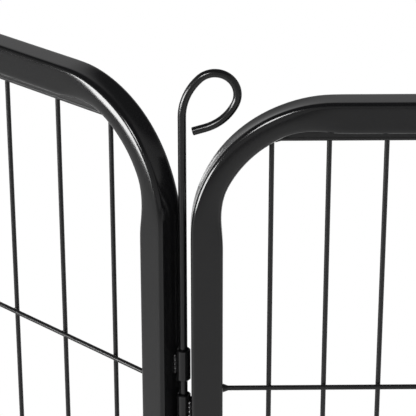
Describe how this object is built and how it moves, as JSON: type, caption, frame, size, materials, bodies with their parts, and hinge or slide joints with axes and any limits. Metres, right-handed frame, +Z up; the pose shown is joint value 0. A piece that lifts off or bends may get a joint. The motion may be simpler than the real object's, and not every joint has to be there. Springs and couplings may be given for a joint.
{
  "type": "pet playpen",
  "caption": "Free-standing ring of framed wire panels pinned together by lift-out looped rods, with a bolted gate, that folds between an octagon and a square.",
  "frame": {"origin": "centre of the ring, on the surface that the pen stands on", "axes": "+Z up, -Y out of panel 2, +X along panel 2"},
  "size_m": [1.9952, 1.9952, 0.8128],
  "materials": {
    "frame_coat": "semi-gloss black powder coat on steel tube",
    "wire_coat": "semi-gloss black powder coat on steel wire",
    "rod_coat": "satin black powder coat on steel rod"
  },
  "bodies": {
    "panel_1": {"panel_1_frame": "frame_coat", "panel_1_wires": "wire_coat", "panel_1_start_sleeve_top": "rod_coat", "panel_1_end_sleeve_top": "rod_coat", "panel_1_start_sleeve_bottom": "rod_coat", "panel_1_end_sleeve_bottom": "rod_coat", "gate_surround": "frame_coat"},
    "rod_1": {"rod_1": "rod_coat"},
    "panel_2": {"panel_2_frame": "frame_coat", "panel_2_wires": "wire_coat", "panel_2_start_sleeve_top": "rod_coat", "panel_2_end_sleeve_top": "rod_coat", "panel_2_start_sleeve_bottom": "rod_coat", "panel_2_end_sleeve_bottom": "rod_coat"},
    "rod_2": {"rod_2": "rod_coat"},
    "panel_3": {"panel_3_frame": "frame_coat", "panel_3_wires": "wire_coat", "panel_3_start_sleeve_top": "rod_coat", "panel_3_end_sleeve_top": "rod_coat", "panel_3_start_sleeve_bottom": "rod_coat", "panel_3_end_sleeve_bottom": "rod_coat"},
    "rod_3": {"rod_3": "rod_coat"},
    "panel_4": {"panel_4_frame": "frame_coat", "panel_4_wires": "wire_coat", "panel_4_start_sleeve_top": "rod_coat", "panel_4_end_sleeve_top": "rod_coat", "panel_4_start_sleeve_bottom": "rod_coat", "panel_4_end_sleeve_bottom": "rod_coat"},
    "rod_4": {"rod_4": "rod_coat"},
    "panel_5": {"panel_5_frame": "frame_coat", "panel_5_wires": "wire_coat", "panel_5_start_sleeve_top": "rod_coat", "panel_5_end_sleeve_top": "rod_coat", "panel_5_start_sleeve_bottom": "rod_coat", "panel_5_end_sleeve_bottom": "rod_coat"},
    "rod_5": {"rod_5": "rod_coat"},
    "panel_6": {"panel_6_frame": "frame_coat", "panel_6_wires": "wire_coat", "panel_6_start_sleeve_top": "rod_coat", "panel_6_end_sleeve_top": "rod_coat", "panel_6_start_sleeve_bottom": "rod_coat", "panel_6_end_sleeve_bottom": "rod_coat"},
    "rod_6": {"rod_6": "rod_coat"},
    "panel_7": {"panel_7_frame": "frame_coat", "panel_7_wires": "wire_coat", "panel_7_start_sleeve_top": "rod_coat", "panel_7_end_sleeve_top": "rod_coat", "panel_7_start_sleeve_bottom": "rod_coat", "panel_7_end_sleeve_bottom": "rod_coat"},
    "rod_7": {"rod_7": "rod_coat"},
    "panel_8": {"panel_8_frame": "frame_coat", "panel_8_wires": "wire_coat", "panel_8_start_sleeve_top": "rod_coat", "panel_8_end_sleeve_top": "rod_coat", "panel_8_start_sleeve_bottom": "rod_coat", "panel_8_end_sleeve_bottom": "rod_coat"},
    "rod_8": {"rod_8": "rod_coat"},
    "gate": {"gate_leaf": "wire_coat", "gate_bolt_guide": "frame_coat"},
    "gate_bolt": {"gate_bolt": "rod_coat"}
  },
  "joints": [
    {"name": "corner_2_hinge", "type": "hinge", "parent": "panel_1", "child": "panel_2", "pos_m": [-0.4087, -0.98669, 0], "axis": [0, 0, 1], "range_deg": [-42, 42]},
    {"name": "corner_3_hinge", "type": "hinge", "parent": "panel_2", "child": "panel_3", "pos_m": [0.4087, -0.98669, 0], "axis": [0, 0, 1], "range_deg": [-42, 42]},
    {"name": "corner_4_hinge", "type": "hinge", "parent": "panel_3", "child": "panel_4", "pos_m": [0.98669, -0.4087, 0], "axis": [0, 0, 1], "range_deg": [-42, 42]},
    {"name": "corner_5_hinge", "type": "hinge", "parent": "panel_4", "child": "panel_5", "pos_m": [0.98669, 0.4087, 0], "axis": [0, 0, 1], "range_deg": [-42, 42]},
    {"name": "corner_6_hinge", "type": "hinge", "parent": "panel_5", "child": "panel_6", "pos_m": [0.4087, 0.98669, 0], "axis": [0, 0, 1], "range_deg": [-42, 42]},
    {"name": "corner_7_hinge", "type": "hinge", "parent": "panel_6", "child": "panel_7", "pos_m": [-0.4087, 0.98669, 0], "axis": [0, 0, 1], "range_deg": [-42, 42]},
    {"name": "corner_8_hinge", "type": "hinge", "parent": "panel_7", "child": "panel_8", "pos_m": [-0.98669, 0.4087, 0], "axis": [0, 0, 1], "range_deg": [-42, 42]},
    {"name": "rod_1_lift", "type": "slide", "parent": "panel_1", "child": "rod_1", "axis": [0, 0, 1], "range_m": [0, 0.6]},
    {"name": "rod_2_lift", "type": "slide", "parent": "panel_2", "child": "rod_2", "axis": [0, 0, 1], "range_m": [0, 0.6]},
    {"name": "rod_3_lift", "type": "slide", "parent": "panel_3", "child": "rod_3", "axis": [0, 0, 1], "range_m": [0, 0.6]},
    {"name": "rod_4_lift", "type": "slide", "parent": "panel_4", "child": "rod_4", "axis": [0, 0, 1], "range_m": [0, 0.6]},
    {"name": "rod_5_lift", "type": "slide", "parent": "panel_5", "child": "rod_5", "axis": [0, 0, 1], "range_m": [0, 0.6]},
    {"name": "rod_6_lift", "type": "slide", "parent": "panel_6", "child": "rod_6", "axis": [0, 0, 1], "range_m": [0, 0.6]},
    {"name": "rod_7_lift", "type": "slide", "parent": "panel_7", "child": "rod_7", "axis": [0, 0, 1], "range_m": [0, 0.6]},
    {"name": "rod_8_lift", "type": "slide", "parent": "panel_8", "child": "rod_8", "axis": [0, 0, 1], "range_m": [0, 0.6]},
    {"name": "gate_hinge", "type": "hinge", "parent": "panel_1", "child": "gate", "pos_m": [-0.8266, -0.58392, 0], "axis": [0, 0, -1], "range_deg": [0, 110]},
    {"name": "gate_bolt_slide", "type": "slide", "parent": "gate", "child": "gate_bolt", "axis": [0.7071, -0.7071, 0], "range_m": [0, 0.016]}
  ],
  "couplings": [
    {"joint": "corner_3_hinge", "follows": "corner_2_hinge", "ratio": -1},
    {"joint": "corner_4_hinge", "follows": "corner_2_hinge", "ratio": 1},
    {"joint": "corner_5_hinge", "follows": "corner_2_hinge", "ratio": -1},
    {"joint": "corner_6_hinge", "follows": "corner_2_hinge", "ratio": 1},
    {"joint": "corner_7_hinge", "follows": "corner_2_hinge", "ratio": -1},
    {"joint": "corner_8_hinge", "follows": "corner_2_hinge", "ratio": 1}
  ]
}
